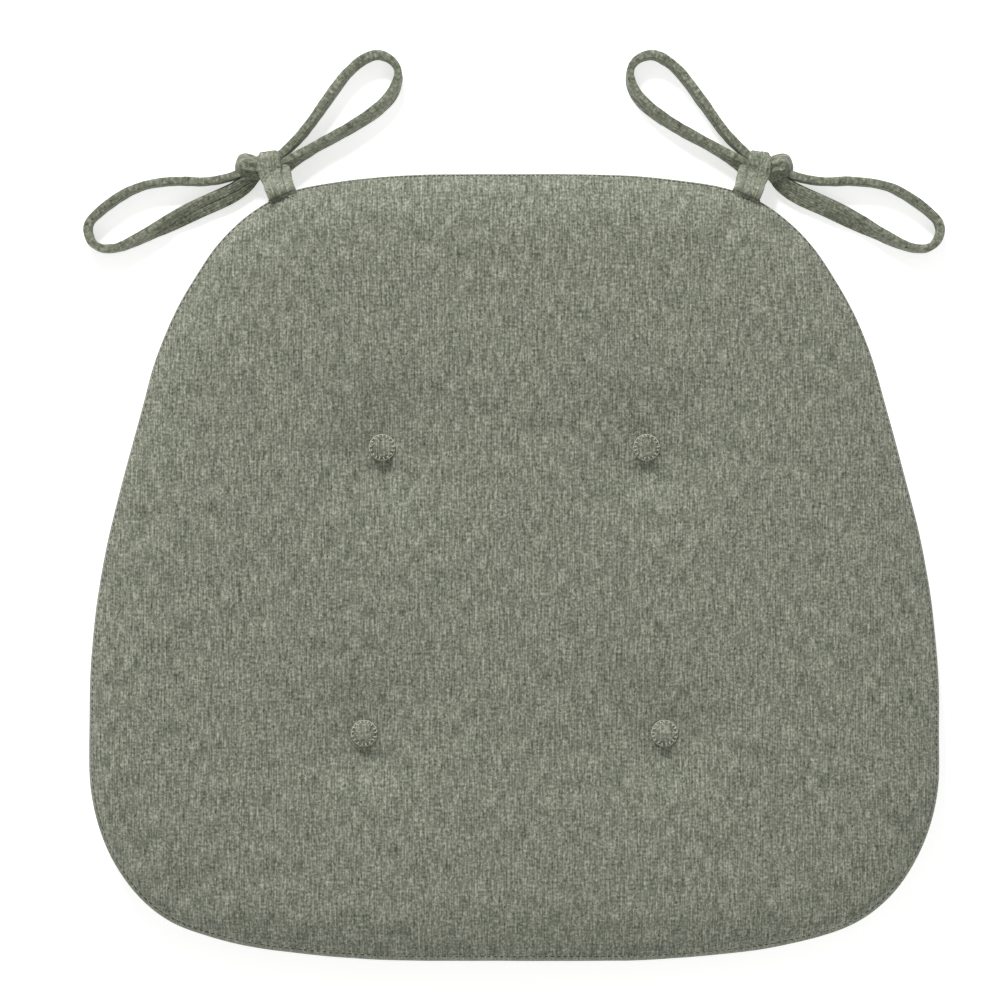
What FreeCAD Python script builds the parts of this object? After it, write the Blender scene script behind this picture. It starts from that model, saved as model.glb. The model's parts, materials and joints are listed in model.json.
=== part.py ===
import FreeCAD, Part
import math
import os
import Sketcher
from FreeCAD import Placement, Rotation, Vector

# A tufted, U-shaped chair seat pad with a bow at each back corner.
# Millimetres. +Z is up, +Y is the back (the side with the ties), and X is the width.
# The origin is on the underside, at the middle of the pad's width and depth.

SIZES = {
    # the stuffed pad
    "pad_width": 430.0,
    "pad_depth": 398.0,
    "pad_height": 38.0,
    "top_round": 12.0,
    "bottom_round": 6.5,
    "top_seam_drop": 10.0,
    "bottom_seam_rise": 4.0,
    # its layers, from the outside in
    "cover_thickness": 1.2,
    "layer_gap": 0.1,
    "wadding_thickness": 4.0,
    "foam_top_round": 5.0,
    "foam_bottom_round": 1.5,
    # the four tufts
    "back_tuft_spacing": 132.6,
    "front_tuft_spacing": 150.6,
    "back_tuft_place": 60.6,
    "front_tuft_place": 82.7,
    "dimple_depth": 5.0,
    "dimple_mouth_radius": 28.0,
    "dimple_floor_margin": 0.5,
    "button_radius": 6.1,
    "button_rim_height": 1.6,
    "button_height": 3.2,
    "whip_stitch_radius": 0.35,
    "whip_stitch_height": 2.0,
    "whip_stitch_gap": 0.05,
    "whip_stitch_count": 17,
    "twine_radius": 0.9,
    "twine_clearance": 0.15,
    "recess_depth": 2.6,
    "recess_mouth_radius": 12.5,
    "recess_floor_margin": 0.8,
    "anchor_radius": 5.0,
    "anchor_height": 2.0,
    "anchor_round": 0.6,
    # the ties
    "tie_spacing": 238.2,
    "strap_width": 10.0,
    "strap_thickness": 4.0,
    "strap_gap": 0.2,
    "seam_tab_depth": 10.0,
    "seam_tab_clearance": 0.2,
    "hinge_clearance": 0.5,
    "knot_length": 26.0,
    "knot_depth": 14.0,
    "knot_height": 12.0,
    "knot_round": 3.5,
    "knot_out": 18.3,
    "knot_along": 1.0,
    "knot_turn": 18.0,
}

# Half of the paper pattern that the cover is cut to, from the middle of the back round to the middle
# of the front. Each corner is a share of half the pad's width and of half its depth.
CUTTING_PATTERN = [
    (0.288, 1.000),
    (0.542, 0.960),
    (0.681, 0.855),
    (0.822, 0.620),
    (1.000, -0.096),
    (1.000, -0.650),
    (0.862, -0.889),
    (0.645, -0.965),
    (0.346, -1.000),
]

# The middle line of each of the left bow's loops, chosen by hand: millimetres along the seam and out from
# it, counted from the middle of the knot. Both ends of each line are inside the knot.
OUTER_LOOP = [
    (-8.5, 3.9), (-15.5, 0.4), (-29.0, 3.2), (-44.0, 11.2), (-63.0, 16.5), (-83.0, 13.2), (-96.0, 8.7),
    (-96.3, -3.3), (-85.0, -9.1), (-65.0, -8.3), (-41.0, -6.7), (-22.0, -7.3), (-13.0, -4.8), (-6.5, -1.6),
]
INNER_LOOP = [
    (3.0, -0.3), (10.0, 1.0), (25.0, 5.7), (44.0, 16.5), (62.0, 26.5), (78.0, 28.0), (85.0, 16.7),
    (78.5, 5.7), (65.0, 0.1), (46.0, -1.7), (28.0, -2.1), (14.5, -4.3), (7.5, -6.3),
]

OUTLINE_SHARE = 0.5    # of the shorter side, taken by each rounded corner of the cutting pattern
LOOP_SHARE = 0.45      # of the shorter run, taken by each bend of a loop
FUNNEL_LIP = 0.25      # how far a dimple's edge runs out above the surface, so that it cuts it cleanly
TOOL_REACH = 5.0       # how far a cutting tool runs past the face that it cuts
SLAB_SPAN = 1.2        # a cutting slab's width and depth, as shares of the pad's
SLAB_REACH = 1.0       # how far the outer slabs and the twine holes run past the pad's top and bottom
TINY = 1e-6

doc = FreeCAD.newDocument("chair_seat_pad")
sheet = doc.addObject("Spreadsheet::Sheet", "Sizes")
for row, (alias, value) in enumerate(SIZES.items(), start=1):
    sheet.set(f"A{row}", alias)
    sheet.set(f"B{row}", str(value))
    sheet.setAlias(f"B{row}", alias)
doc.recompute()

parts = {}


def size(alias):
    """A size as it stands in the spreadsheet."""
    return float(sheet.get(alias))


def keep(obj):
    """Marks an object as a sub-part of the pad: its name is its node's name."""
    parts[obj.Name] = obj
    obj.Label = obj.Name
    return obj


def feature(name, shape, placement=None):
    obj = doc.addObject("Part::Feature", name)
    obj.Shape = shape
    if placement:
        obj.Placement = placement
    return obj


def cut(name, base, *tools):
    """Part::Cut of one object by one or several others."""
    tool = tools[0]
    if len(tools) > 1:
        tool = doc.addObject("Part::MultiFuse", name + "_tools")
        tool.Shapes = list(tools)
    result = doc.addObject("Part::Cut", name)
    result.Base = base
    result.Tool = tool
    return result


def common(name, first, second):
    result = doc.addObject("Part::Common", name)
    result.Base = first
    result.Tool = second
    return result


# ---------------------------------------------------------------- lines that runs and arcs make

def tangent_path(points, share, closed=False):
    """Straight runs joined by tangent arcs, each as large as its two runs allow. Gives edges and radii."""
    count = len(points)
    corners = range(count) if closed else range(1, count - 1)
    bends = {}
    radii = []
    for i in corners:
        corner = points[i]
        back = points[i - 1] - corner
        ahead = points[(i + 1) % count] - corner
        half_turn = (math.pi - back.getAngle(ahead)) / 2
        reach = share * min(back.Length, ahead.Length)
        radius = reach / math.tan(half_turn)
        back.normalize()
        ahead.normalize()
        inward = (back + ahead).normalize()
        middle = corner + inward * (radius / math.cos(half_turn) - radius)
        bends[i] = (corner + back * reach, middle, corner + ahead * reach)
        radii.append(radius)
    edges = []
    last_end = bends[count - 1][2] if closed else points[0]
    for i in corners:
        start, middle, end = bends[i]
        if start.distanceToPoint(last_end) > TINY:
            edges.append(Part.LineSegment(last_end, start).toShape())
        edges.append(Part.Arc(start, middle, end).toShape())
        last_end = end
    if not closed:
        edges.append(Part.LineSegment(last_end, points[-1]).toShape())
    return edges, radii


def pad_outline(inset=0.0):
    """The pad's outline, seen from above, or a line that far inside it."""
    half_width, half_depth = size("pad_width") / 2, size("pad_depth") / 2
    right = [Vector(x * half_width, y * half_depth, 0) for x, y in CUTTING_PATTERN]
    left = [Vector(-p.x, p.y, 0) for p in reversed(right)]
    edges, _ = tangent_path(right + left, OUTLINE_SHARE, closed=True)
    wire = Part.Wire(Part.__sortEdges__(edges))
    return wire.makeOffset2D(-inset) if inset else wire


# ---------------------------------------------------------------- the stuffed pad's layers

def funnel(depth, floor_radius, mouth_radius, sink):
    """A round hollow with a flat floor and an S-shaped flank, with its mouth at height 0, or the hollow
    that lies a thickness called sink below it."""
    drop = depth + FUNNEL_LIP
    slope = 2 * math.atan(drop / (mouth_radius - floor_radius))
    bend = (mouth_radius - floor_radius) / (2 * math.sin(slope))
    low, high = bend + sink, bend - sink
    floor = FUNNEL_LIP - drop - sink
    low_centre = Vector(floor_radius, 0, floor + low)
    high_centre = Vector(mouth_radius, 0, FUNNEL_LIP - bend)

    def on_low(angle):
        return low_centre + Vector(math.sin(angle), 0, -math.cos(angle)) * low

    def on_high(angle):
        return high_centre + Vector(-math.sin(angle), 0, math.cos(angle)) * high

    profile = [
        Part.LineSegment(Vector(0, 0, floor), on_low(0)),
        Part.Arc(on_low(0), on_low(slope / 2), on_low(slope)),
        Part.Arc(on_high(slope), on_high(slope / 2), on_high(0)),
        Part.LineSegment(on_high(0), Vector(mouth_radius, 0, TOOL_REACH)),
        Part.LineSegment(Vector(mouth_radius, 0, TOOL_REACH), Vector(0, 0, TOOL_REACH)),
        Part.LineSegment(Vector(0, 0, TOOL_REACH), Vector(0, 0, floor)),
    ]
    face = Part.Face(Part.Wire([line.toShape() for line in profile]))
    return face.revolve(Vector(0, 0, 0), Vector(0, 0, 1), 360)


def tuft_places():
    """Name and place of each tuft, seen from above."""
    rows = {
        "back": (size("back_tuft_spacing") / 2, size("back_tuft_place")),
        "front": (size("front_tuft_spacing") / 2, -size("front_tuft_place")),
    }
    sides = {"left": -1, "right": 1}
    return {
        f"{row}_{side}": Vector(sign * x, y, 0)
        for row, (x, y) in rows.items()
        for side, sign in sides.items()
    }


def round_edges(solid, height, radius):
    """Rounds the edges of a prism's end face at that height."""
    edges = [e for e in solid.Edges if all(abs(v.Z - height) < TINY for v in e.Vertexes)]
    return solid.makeFillet(radius, edges)


def stuffed_form(name, inset, top_round, bottom_round, recessed):
    """The whole stuffed pad as one solid, that far inside its surface, with its dimples, and with the
    recesses under it where it is recessed."""
    low, high = inset, size("pad_height") - inset
    solid = Part.Face(pad_outline(inset)).extrude(Vector(0, 0, high - low))
    solid.translate(Vector(0, 0, low))
    solid = round_edges(solid, high, top_round)
    solid = round_edges(solid, low, bottom_round)
    dimple = funnel(size("dimple_depth"), dimple_floor_radius, size("dimple_mouth_radius"), inset)
    recess = funnel(size("recess_depth"), recess_floor_radius, size("recess_mouth_radius"), inset)
    recess.rotate(Vector(0, 0, 0), Vector(1, 0, 0), 180)
    tools = []
    for place in tuft_places().values():
        tools.append(dimple.translated(place + Vector(0, 0, size("pad_height"))))
        if recessed:
            tools.append(recess.translated(place))
    return feature(name, solid.cut(tools))


whip_ring_radius = size("button_radius") + size("whip_stitch_gap") + size("whip_stitch_radius")
dimple_floor_radius = whip_ring_radius + size("whip_stitch_radius") + size("dimple_floor_margin")
recess_floor_radius = size("anchor_radius") + size("recess_floor_margin")
cover_thickness = size("cover_thickness")
layer_gap = size("layer_gap")
wadding_outer = cover_thickness + layer_gap
wadding_inner = wadding_outer + size("wadding_thickness")

cover_form = stuffed_form("cover_form", 0.0, size("top_round"), size("bottom_round"), True)
cover_inside = stuffed_form(
    "cover_inside",
    cover_thickness,
    size("top_round") - cover_thickness,
    size("bottom_round") - cover_thickness,
    True,
)
wadding_outside = stuffed_form(
    "wadding_outside",
    wadding_outer,
    size("top_round") - wadding_outer,
    size("bottom_round") - wadding_outer,
    True,
)
wadding_inside = stuffed_form(
    "wadding_inside", wadding_inner, size("foam_top_round"), size("foam_bottom_round"), False
)
foam_form = stuffed_form(
    "foam_form", wadding_inner + layer_gap, size("foam_top_round"), size("foam_bottom_round"), False
)


def slab(name, low, high):
    """A level slab wider than the pad. Its two heights are spreadsheet formulas."""
    box = doc.addObject("Part::Box", name)
    box.setExpression("Length", f"Sizes.pad_width * {SLAB_SPAN}")
    box.setExpression("Width", f"Sizes.pad_depth * {SLAB_SPAN}")
    box.setExpression("Height", f"({high}) - ({low})")
    box.setExpression("Placement.Base.x", f"-Sizes.pad_width * {SLAB_SPAN / 2}")
    box.setExpression("Placement.Base.y", f"-Sizes.pad_depth * {SLAB_SPAN / 2}")
    box.setExpression("Placement.Base.z", low)
    return box


TOP_SEAM = "Sizes.pad_height - Sizes.top_seam_drop"
BOTTOM_SEAM = "Sizes.bottom_seam_rise"
ABOVE_PAD = f"Sizes.pad_height + {SLAB_REACH}"
BELOW_PAD = f"-{SLAB_REACH}"
top_slab = slab("top_slab", TOP_SEAM, ABOVE_PAD)
band_slab = slab("band_slab", BOTTOM_SEAM, TOP_SEAM)
bottom_slab = slab("bottom_slab", BELOW_PAD, BOTTOM_SEAM)

# ---------------------------------------------------------------- tufting twine and its holes

FLOOR = "Sizes.pad_height - Sizes.dimple_depth"
ANCHOR_TOP = "Sizes.recess_depth"
TWINE_HOLE = "Sizes.twine_radius + Sizes.twine_clearance"


def upright_rod(name, place, radius, low, high):
    """A Part::Cylinder standing at a tuft, between two heights given as spreadsheet formulas."""
    rod = doc.addObject("Part::Cylinder", name)
    rod.Placement.Base = place
    rod.setExpression("Radius", radius)
    rod.setExpression("Height", f"({high}) - ({low})")
    rod.setExpression("Placement.Base.z", low)
    return rod


twine_holes = doc.addObject("Part::MultiFuse", "twine_holes")
twine_holes.Shapes = [
    upright_rod(f"twine_hole_{name}", place, TWINE_HOLE, BELOW_PAD, ABOVE_PAD)
    for name, place in tuft_places().items()
]
for name, place in tuft_places().items():
    keep(upright_rod(f"tufting_twine_{name}", place, "Sizes.twine_radius", ANCHOR_TOP, FLOOR))


# ---------------------------------------------------------------- buttons, whip stitches and anchors

def origin_plane(body, role):
    return next(f for f in body.Origin.OriginFeatures if f.Role == role)


def body_with_sketch(name, plane):
    body = doc.addObject("PartDesign::Body", name)
    sketch = body.newObject("Sketcher::SketchObject", name + "_sketch")
    sketch.AttachmentSupport = [(origin_plane(body, plane), "")]
    sketch.MapMode = "FlatFace"
    return body, sketch


def close_with_coincidences(sketch, count):
    """Joins each of the first count edges of a sketch to the next, and the last to the first."""
    for i in range(count):
        sketch.addConstraint(Sketcher.Constraint("Coincident", i, 2, (i + 1) % count, 1))


def named_size(sketch, constraint, formula):
    """Adds a size to a sketch and binds it to the spreadsheet."""
    index = sketch.addConstraint(constraint)
    sketch.setExpression(f"Constraints[{index}]", formula)


def tuft_button(name, place):
    """A domed, fabric-covered button: a turned solid standing on its dimple's floor."""
    body, sketch = body_with_sketch(name, "XZ_Plane")
    radius, rim, height = size("button_radius"), size("button_rim_height"), size("button_height")
    rise = height - rim
    dome = (radius * radius + rise * rise) / (2 * rise)
    centre = Vector(0, height - dome, 0)
    rim_angle = math.atan2(dome - rise, radius)
    circle = Part.Circle(centre, Vector(0, 0, 1), dome)
    sketch.addGeometry(Part.LineSegment(Vector(0, 0, 0), Vector(radius, 0, 0)))
    sketch.addGeometry(Part.LineSegment(Vector(radius, 0, 0), Vector(radius, rim, 0)))
    sketch.addGeometry(Part.ArcOfCircle(circle, rim_angle, math.pi / 2))
    sketch.addGeometry(Part.LineSegment(Vector(0, height, 0), Vector(0, 0, 0)))
    close_with_coincidences(sketch, 4)
    sketch.addConstraint(Sketcher.Constraint("Coincident", 0, 1, -1, 1))
    sketch.addConstraint(Sketcher.Constraint("Horizontal", 0))
    sketch.addConstraint(Sketcher.Constraint("Vertical", 1))
    sketch.addConstraint(Sketcher.Constraint("PointOnObject", 3, 1, -2))
    sketch.addConstraint(Sketcher.Constraint("PointOnObject", 2, 3, -2))
    named_size(sketch, Sketcher.Constraint("DistanceX", 0, 1, 0, 2, radius), "Sizes.button_radius")
    named_size(sketch, Sketcher.Constraint("DistanceY", 1, 1, 1, 2, rim), "Sizes.button_rim_height")
    named_size(sketch, Sketcher.Constraint("DistanceY", 3, 2, 3, 1, height), "Sizes.button_height")
    turned = body.newObject("PartDesign::Revolution", name + "_turned")
    turned.Profile = sketch
    turned.ReferenceAxis = (sketch, ["V_Axis"])
    turned.Angle = 360.0
    body.Placement.Base = place
    body.setExpression("Placement.Base.z", FLOOR)
    return body


def whip_stitches(name, place):
    """The thread that whips a button's rim down to the cover: one upright stitch after another."""
    floor = size("pad_height") - size("dimple_depth")
    count = int(size("whip_stitch_count"))
    stitches = []
    for i in range(count):
        angle = 2 * math.pi * i / count
        foot = Vector(math.cos(angle), math.sin(angle), 0) * whip_ring_radius
        stitches.append(Part.makeCylinder(size("whip_stitch_radius"), size("whip_stitch_height"), foot))
    return feature(name, Part.makeCompound(stitches), Placement(place + Vector(0, 0, floor), Rotation()))


def twine_anchor(name, place):
    """The flat button under the pad that the twine is tied to. It sits in its recess."""
    body, sketch = body_with_sketch(name, "XY_Plane")
    radius = size("anchor_radius")
    sketch.addGeometry(Part.Circle(Vector(0, 0, 0), Vector(0, 0, 1), radius))
    sketch.addConstraint(Sketcher.Constraint("Coincident", 0, 3, -1, 1))
    named_size(sketch, Sketcher.Constraint("Radius", 0, radius), "Sizes.anchor_radius")
    disc = body.newObject("PartDesign::Pad", name + "_disc")
    disc.Profile = sketch
    disc.setExpression("Length", "Sizes.anchor_height")
    doc.recompute()
    rim = body.newObject("PartDesign::Fillet", name + "_rim")
    low_faces = [
        f"Face{i}" for i, face in enumerate(disc.Shape.Faces, start=1) if face.BoundBox.ZMax < TINY
    ]
    rim.Base = (disc, low_faces)
    rim.setExpression("Radius", "Sizes.anchor_round")
    body.Placement.Base = place
    body.setExpression("Placement.Base.z", f"{ANCHOR_TOP} - Sizes.anchor_height")
    return body


for name, place in tuft_places().items():
    keep(tuft_button(f"tuft_button_{name}", place))
    keep(whip_stitches(f"whip_stitches_{name}", place))
    keep(twine_anchor(f"twine_anchor_{name}", place))


# ---------------------------------------------------------------- the left tie, in the frame of its seam

def left_tie_frame():
    """Where the left tie leaves the seam: x runs along the seam, y out of the pad, and z up from the floor."""
    half = size("tie_spacing") / 2
    outline = pad_outline()
    upright = Part.LineSegment(Vector(-half, 0, 0), Vector(-half, size("pad_depth"), 0)).toShape()
    found = outline.distToShape(upright)
    point = found[1][0][0]
    edge = min(outline.Edges, key=lambda e: e.distToShape(Part.Vertex(point))[0])
    along = edge.tangentAt(edge.Curve.parameter(point))
    if along.x < 0:
        along = -along
    return Placement(point, Rotation(Vector(0, 0, 1), math.degrees(math.atan2(along.y, along.x))))


tie_frame = left_tie_frame()
tab_width = size("strap_width") + size("strap_gap") + size("strap_thickness")
seam_height = size("pad_height") - size("top_seam_drop")
hinge_out = size("hinge_clearance") + size("strap_thickness") / 2
knot_place = Vector(-size("knot_along"), size("knot_out"), 0)


def in_tie_frame(obj, offset, rotation=None):
    obj.Placement = tie_frame.multiply(Placement(offset, rotation or Rotation()))
    return obj


def seam_block(name, clearance=None, past_seam=0.0):
    """The block that both sewn ends of the strap fill inside the seam, or the slot for it, which is
    larger by a named clearance and runs on past the seam."""
    block = doc.addObject("Part::Box", name)
    wider = f" + 2 * Sizes.{clearance}" if clearance else ""
    deeper = f" + Sizes.{clearance} + {past_seam}" if clearance else ""
    block.setExpression("Length", "Sizes.strap_width + Sizes.strap_gap + Sizes.strap_thickness" + wider)
    block.setExpression("Width", "Sizes.seam_tab_depth" + deeper)
    block.setExpression("Height", "Sizes.strap_thickness" + wider)
    extra = size(clearance) if clearance else 0.0
    corner = Vector(-tab_width / 2, -size("seam_tab_depth"), seam_height - size("strap_thickness") / 2)
    return in_tie_frame(block, corner - Vector(extra, extra, extra))


def mirrored(name, source):
    """The same piece on the pad's right side."""
    obj = doc.addObject("Part::Mirroring", name)
    obj.Source = source
    obj.Normal = Vector(1, 0, 0)
    return obj


left_tab = keep(seam_block("left_tie_seam_tab"))
keep(mirrored("right_tie_seam_tab", left_tab))
left_slot = seam_block("left_tie_slot", "seam_tab_clearance", TOOL_REACH)
right_slot = mirrored("right_tie_slot", left_slot)


def strap_leg(name, along, width, end_height):
    """A strap's leg from the hinge line at the seam down into the knot: a flat side profile, rounded
    about the hinge line, growing to its end's height, and as wide as the strap lies there."""
    body, sketch = body_with_sketch(name, "YZ_Plane")
    out = size("knot_out") - size("knot_depth") / 4 - hinge_out
    down = seam_height - size("knot_height") / 2
    reach, root, end = math.hypot(out, down), size("strap_thickness") / 2, size(end_height) / 2
    lean = (end - root) / reach
    top = Vector(-math.sin(lean), math.cos(lean), 0) * root
    low = Vector(top.x, -top.y, 0)
    far_top, far_low = Vector(reach, end, 0), Vector(reach, -end, 0)
    sketch.addGeometry(Part.LineSegment(far_top, top))
    sketch.addGeometry(Part.Arc(top, Vector(-root, 0, 0), low))
    sketch.addGeometry(Part.LineSegment(low, far_low))
    sketch.addGeometry(Part.LineSegment(far_low, far_top))
    sketch.addConstraint(Sketcher.Constraint("Tangent", 0, 2, 1, 1))
    sketch.addConstraint(Sketcher.Constraint("Tangent", 1, 2, 2, 1))
    sketch.addConstraint(Sketcher.Constraint("Coincident", 2, 2, 3, 1))
    sketch.addConstraint(Sketcher.Constraint("Coincident", 3, 2, 0, 1))
    sketch.addConstraint(Sketcher.Constraint("Coincident", 1, 3, -1, 1))
    sketch.addConstraint(Sketcher.Constraint("Vertical", 3))
    named_size(sketch, Sketcher.Constraint("Radius", 1, root), "Sizes.strap_thickness / 2")
    sketch.addConstraint(Sketcher.Constraint("DistanceX", -1, 1, 0, 1, reach))
    named_size(sketch, Sketcher.Constraint("DistanceY", -1, 1, 0, 1, end), f"Sizes.{end_height} / 2")
    named_size(sketch, Sketcher.Constraint("DistanceY", 3, 1, 3, 2, 2 * end), f"Sizes.{end_height}")
    pad = body.newObject("PartDesign::Pad", name + "_width")
    pad.Profile = sketch
    pad.setExpression("Length", f"Sizes.{width}")
    slope = Rotation(Vector(1, 0, 0), -math.degrees(math.atan2(down, out)))
    return in_tie_frame(body, Vector(along, hinge_out, seam_height), slope)


def strap_knot(name):
    """The knot's outer shape: a block with rounded edges lying on the floor."""
    body, sketch = body_with_sketch(name, "XY_Plane")
    length, depth = size("knot_length"), size("knot_depth")
    corners = [
        Vector(-length / 2, -depth / 2, 0),
        Vector(length / 2, -depth / 2, 0),
        Vector(length / 2, depth / 2, 0),
        Vector(-length / 2, depth / 2, 0),
    ]
    for start, end in zip(corners, corners[1:] + corners[:1]):
        sketch.addGeometry(Part.LineSegment(start, end))
    close_with_coincidences(sketch, len(corners))
    for i, kind in enumerate(["Horizontal", "Vertical", "Horizontal", "Vertical"]):
        sketch.addConstraint(Sketcher.Constraint(kind, i))
    sketch.addConstraint(Sketcher.Constraint("Symmetric", 0, 1, 1, 2, -1, 1))
    named_size(sketch, Sketcher.Constraint("DistanceX", 0, 1, 0, 2, length), "Sizes.knot_length")
    named_size(sketch, Sketcher.Constraint("DistanceY", 1, 1, 1, 2, depth), "Sizes.knot_depth")
    block = body.newObject("PartDesign::Pad", name + "_block")
    block.Profile = sketch
    block.setExpression("Length", "Sizes.knot_height")
    doc.recompute()
    rounded = body.newObject("PartDesign::Fillet", name + "_rounded")
    rounded.Base = (block, [f"Edge{i}" for i in range(1, len(block.Shape.Edges) + 1)])
    rounded.setExpression("Radius", "Sizes.knot_round")
    turn = Rotation(Vector(0, 0, 1), -size("knot_turn"))
    return in_tie_frame(body, knot_place, turn)


def strap_loop(name, route):
    """A loop of strap standing on its edge on the floor, swept along straight runs and tangent arcs."""
    points = [Vector(x, y, 0) for x, y in route]
    edges, radii = tangent_path(points, LOOP_SHARE)
    path = Part.Wire(edges)
    half = size("strap_thickness") / 2
    ahead = (points[1] - points[0]).normalize()
    side = Vector(-ahead.y, ahead.x, 0) * half
    up = Vector(0, 0, size("strap_width"))
    start = points[0]
    section = Part.makePolygon([start - side, start + side, start + side + up, start - side + up, start - side])
    solid = path.makePipeShell([section], True, True)
    expected = path.Length * size("strap_width") * size("strap_thickness")
    print(f"{name}: length {path.Length:.1f} mm, volume {solid.Volume / expected:.4f} of section times length")
    print(f"{name}: bend radii", " ".join(f"{r:.0f}" for r in radii))
    loop = feature(name, solid)
    return in_tie_frame(loop, knot_place)


knot = keep(strap_knot("left_tie_knot"))
whole_front_leg = strap_leg("front_leg_whole", -tab_width / 2, "strap_width", "strap_thickness")
rear_leg_start = tab_width / 2 - size("strap_thickness")
whole_rear_leg = strap_leg("rear_leg_whole", rear_leg_start, "strap_thickness", "strap_width")
whole_outer_loop = strap_loop("outer_loop_whole", OUTER_LOOP)
whole_inner_loop = strap_loop("inner_loop_whole", INNER_LOOP)

keep(cut("left_tie_front_leg", whole_front_leg, knot))
keep(cut("left_tie_rear_leg", whole_rear_leg, knot))
keep(cut("left_tie_outer_loop", whole_outer_loop, knot))
keep(cut("left_tie_inner_loop", whole_inner_loop, knot))
for piece in ("knot", "front_leg", "rear_leg", "outer_loop", "inner_loop"):
    keep(mirrored("right_tie_" + piece, parts["left_tie_" + piece]))

# ---------------------------------------------------------------- the cover's panels, wadding and foam

openings = (left_slot, right_slot, twine_holes)
keep(cut("top_panel", common("cover_top", cover_form, top_slab), cover_inside, *openings))
keep(cut("side_band", common("cover_middle", cover_form, band_slab), cover_inside, *openings))
keep(cut("bottom_panel", common("cover_bottom", cover_form, bottom_slab), cover_inside, *openings))
keep(cut("wadding_layer", wadding_outside, wadding_inside, *openings))
keep(cut("foam_core", foam_form, *openings))

# ---------------------------------------------------------------- checks and files

doc.recompute()
for obj in doc.Objects:
    if "Invalid" in obj.State or "Error" in obj.State:
        raise RuntimeError(f"{obj.Name} failed: {obj.State}")
for name, obj in parts.items():
    if obj.Shape.isNull() or not obj.Shape.isValid() or not obj.Shape.Solids:
        raise RuntimeError(f"{name} has no valid solid")

hinge = tie_frame.multVec(Vector(0, hinge_out, seam_height))
along = tie_frame.Rotation.multVec(Vector(1, 0, 0))
print(f"left tie hinge at {hinge.x:.3f} {hinge.y:.3f} {hinge.z:.3f}, axis {along.x:.5f} {along.y:.5f} 0")

os.makedirs("parts", exist_ok=True)
for name, obj in parts.items():
    obj.Shape.exportStep(f"parts/{name}.step")
print(f"{len(parts)} sub-parts written")
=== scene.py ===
"""The looks of a tufted chair seat pad with a bow at each back corner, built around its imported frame.

Metres. +Z is up, +Y is the back, where the ties are, and X is the width.
"""
import json
import math
import random

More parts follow.
